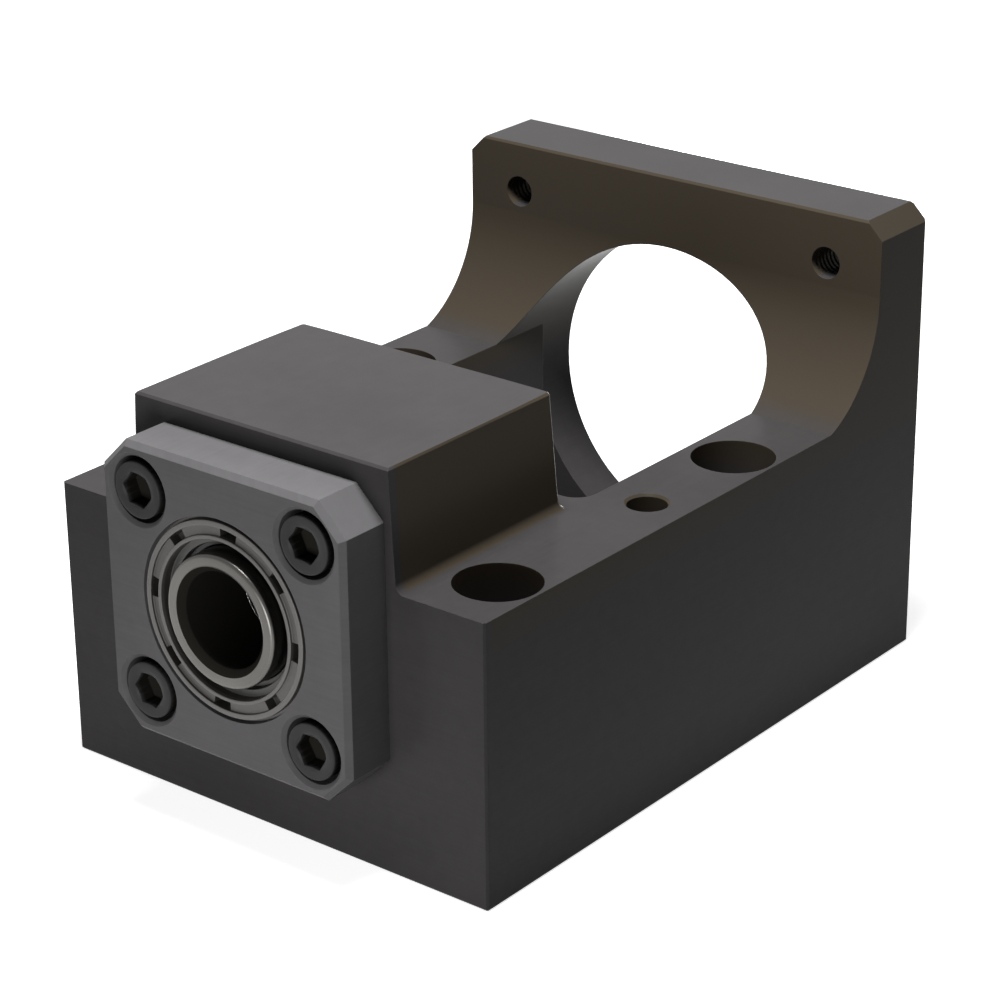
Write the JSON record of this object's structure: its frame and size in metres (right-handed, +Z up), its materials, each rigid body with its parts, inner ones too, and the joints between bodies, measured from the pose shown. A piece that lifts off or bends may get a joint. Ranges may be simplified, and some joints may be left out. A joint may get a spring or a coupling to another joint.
{
  "type": "ball screw end support and motor bracket",
  "caption": "One-piece bracket that holds a ball screw's fixed end in a pair of bearings and carries its drive motor on an upright flange, with an open pocket for the coupling.",
  "frame": {"origin": "on the base, at the centre of the four base bolts", "axes": "+Y along the ball screw towards the motor, +Z up"},
  "size_m": [0.066, 0.0977, 0.0615],
  "materials": {
    "black_oxide_body": "blackened steel, satin",
    "black_oxide_cover": "blackened steel, satin",
    "black_oxide_screw": "blackened steel, satin",
    "black_oxide_nut": "blackened steel, satin",
    "seal_polymer": "moulded, matt",
    "seal_rubber": "matt",
    "collar_steel": "ground",
    "bearing_steel": "ground",
    "cage_brass": "machined",
    "pad_brass": "machined"
  },
  "bodies": {
    "housing": {"bearing_cover": "black_oxide_cover", "bracket_body": "black_oxide_body", "cover_screws": "black_oxide_screw", "front_outer_ring": "bearing_steel", "front_seal": "seal_polymer", "rear_outer_ring": "bearing_steel", "rear_seal": "seal_rubber"},
    "spindle": {"front_collar": "collar_steel", "rear_collar": "collar_steel", "front_inner_ring": "bearing_steel", "rear_inner_ring": "bearing_steel", "lock_nut": "black_oxide_nut", "nut_set_screws": "black_oxide_screw", "nut_pad_1": "pad_brass", "nut_pad_2": "pad_brass"},
    "front_ball_row": {"front_cage": "cage_brass", "front_ball_01": "bearing_steel", "front_ball_02": "bearing_steel", "front_ball_03": "bearing_steel", "front_ball_04": "bearing_steel", "front_ball_05": "bearing_steel", "front_ball_06": "bearing_steel", "front_ball_07": "bearing_steel", "front_ball_08": "bearing_steel", "front_ball_09": "bearing_steel", "front_ball_10": "bearing_steel"},
    "rear_ball_row": {"rear_cage": "cage_brass", "rear_ball_01": "bearing_steel", "rear_ball_02": "bearing_steel", "rear_ball_03": "bearing_steel", "rear_ball_04": "bearing_steel", "rear_ball_05": "bearing_steel", "rear_ball_06": "bearing_steel", "rear_ball_07": "bearing_steel", "rear_ball_08": "bearing_steel", "rear_ball_09": "bearing_steel", "rear_ball_10": "bearing_steel"}
  },
  "joints": [
    {"name": "spindle_spin", "type": "hinge", "parent": "housing", "child": "spindle", "pos_m": [0, -0.03275, 0.03], "axis": [0, 1, 0], "continuous": true},
    {"name": "front_row_spin", "type": "hinge", "parent": "housing", "child": "front_ball_row", "pos_m": [0, -0.02575, 0.03], "axis": [0, 1, 0], "continuous": true},
    {"name": "rear_row_spin", "type": "hinge", "parent": "housing", "child": "rear_ball_row", "pos_m": [0, -0.01775, 0.03], "axis": [0, 1, 0], "continuous": true}
  ],
  "couplings": [
    {"joint": "front_row_spin", "follows": "spindle_spin", "ratio": 0.385},
    {"joint": "rear_row_spin", "follows": "spindle_spin", "ratio": 0.385}
  ]
}
